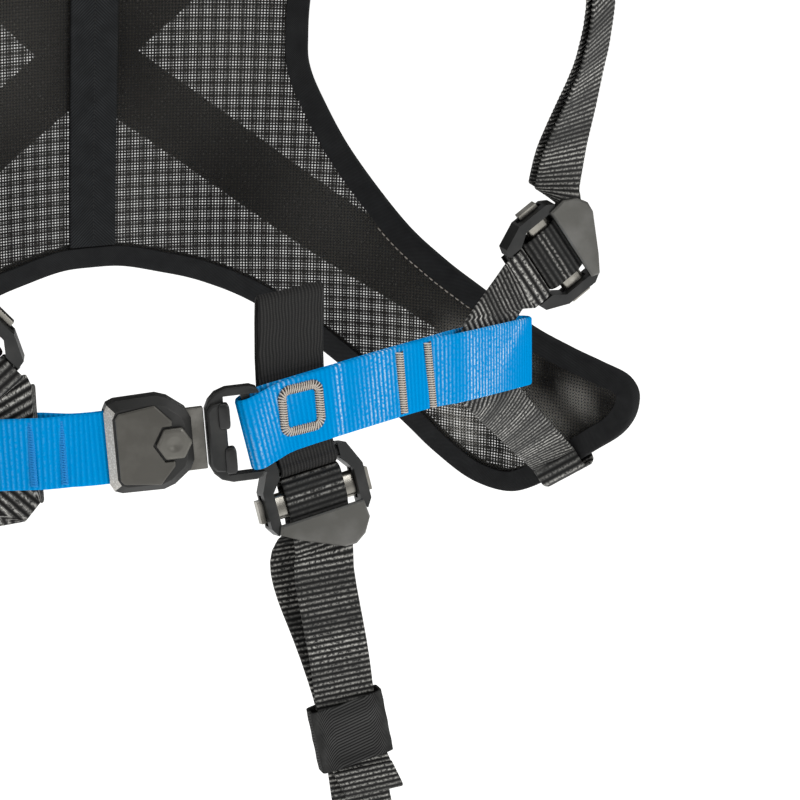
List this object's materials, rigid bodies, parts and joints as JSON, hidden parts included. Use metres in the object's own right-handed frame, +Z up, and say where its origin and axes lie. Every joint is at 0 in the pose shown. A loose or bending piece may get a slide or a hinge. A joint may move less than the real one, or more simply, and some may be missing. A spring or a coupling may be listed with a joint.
{
  "type": "climbing chest harness",
  "caption": "Chest harness as worn: mesh back panel with wrapped wings, shoulder straps with adjusters, blue buckled chest strap and a lower strap.",
  "frame": {"origin": "middle point between the tops of the two shoulder straps, where the harness hangs on the wearer's shoulders", "axes": "+Z up, -Y the wearer's front, +X the wearer's left"},
  "size_m": [0.4228, 0.2035, 0.5065],
  "materials": {
    "polyester_mesh": "woven, matt",
    "black_binding_tape": "twill, matt",
    "black_webbing": "ribbed, low sheen",
    "blue_webbing": "ribbed, low sheen",
    "black_elastic": "ribbed, matt",
    "dark_coated_steel": "satin coating",
    "nickel_steel": "satin nickel",
    "anodised_dark_alloy": "satin, anodised",
    "grey_cover_plate": "satin, anodised"
  },
  "bodies": {
    "root": {"mesh_panel": "polyester_mesh", "edge_binding": "black_binding_tape", "centre_band": "black_binding_tape", "back_webbing_right": "black_webbing", "back_webbing_left": "black_webbing", "shoulder_strap_right": "black_webbing", "shoulder_strap_left": "black_webbing", "front_webbing_right": "black_webbing", "front_webbing_left": "black_webbing", "adjuster_frame_lower": "dark_coated_steel", "adjuster_frame_right": "dark_coated_steel", "adjuster_frame_left": "dark_coated_steel", "adjuster_slide_bar_lower": "nickel_steel", "adjuster_slide_bar_right": "nickel_steel", "adjuster_slide_bar_left": "nickel_steel", "chest_strap_right": "blue_webbing", "chest_strap_left": "blue_webbing", "buckle_body": "anodised_dark_alloy", "buckle_cover": "grey_cover_plate", "push_button": "grey_cover_plate", "latch_tongue": "nickel_steel", "strap_frame": "dark_coated_steel", "sternal_loop": "black_webbing", "lower_strap": "black_webbing", "elastic_keeper": "black_elastic"}
  },
  "joints": []
}
